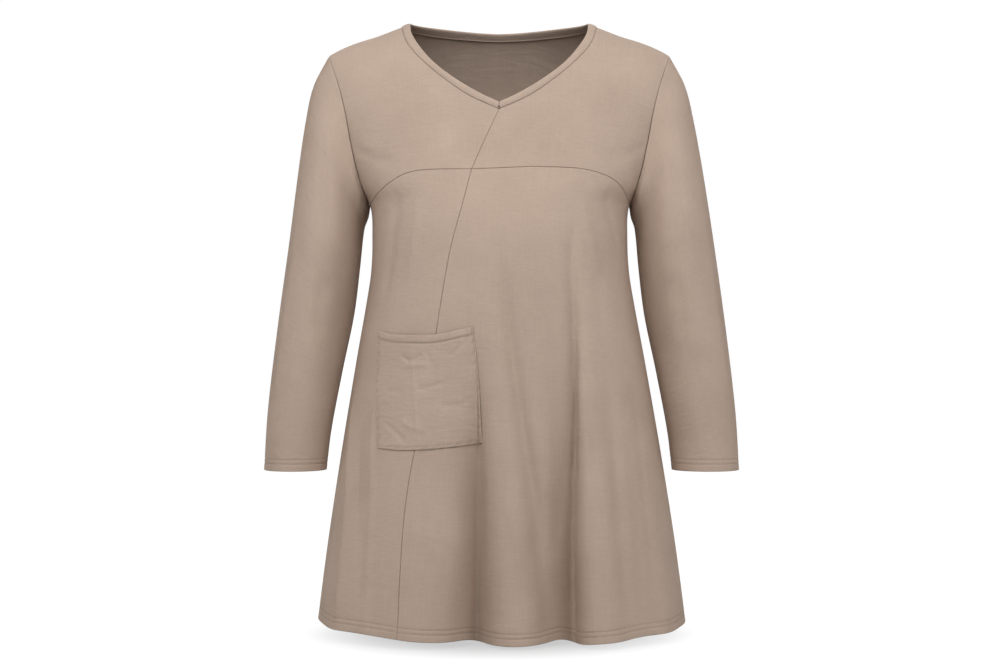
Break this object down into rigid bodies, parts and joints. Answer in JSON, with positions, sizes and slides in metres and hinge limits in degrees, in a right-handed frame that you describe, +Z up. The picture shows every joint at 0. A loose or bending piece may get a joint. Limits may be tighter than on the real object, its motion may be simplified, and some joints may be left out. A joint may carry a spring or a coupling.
{
  "type": "jumper dress",
  "caption": "Pull-on A-line jersey tunic dress with a V neck, long sleeves, a curved yoke seam, a slanted front seam and a patch pocket, filled out as worn.",
  "frame": {"origin": "on the centre line, level with the points where the shoulders meet the neck, where the wearer's shoulders carry the dress", "axes": "+Z up, the front faces -Y, +X towards the wearer's left"},
  "size_m": [0.59, 0.3483, 0.7538],
  "materials": {
    "jersey_front": "matte taupe viscose jersey",
    "jersey_back": "matte taupe viscose jersey",
    "jersey_sleeve": "matte taupe viscose jersey",
    "jersey_binding": "matte taupe viscose jersey, folded double",
    "jersey_pocket": "matte taupe viscose jersey"
  },
  "bodies": {
    "root": {"back": "jersey_back", "front_yoke_right": "jersey_front", "front_yoke_left": "jersey_front", "front_skirt_right": "jersey_front", "front_skirt_left": "jersey_front", "sleeve_right": "jersey_sleeve", "sleeve_left": "jersey_sleeve", "neck_binding": "jersey_binding", "pocket": "jersey_pocket"}
  },
  "joints": []
}
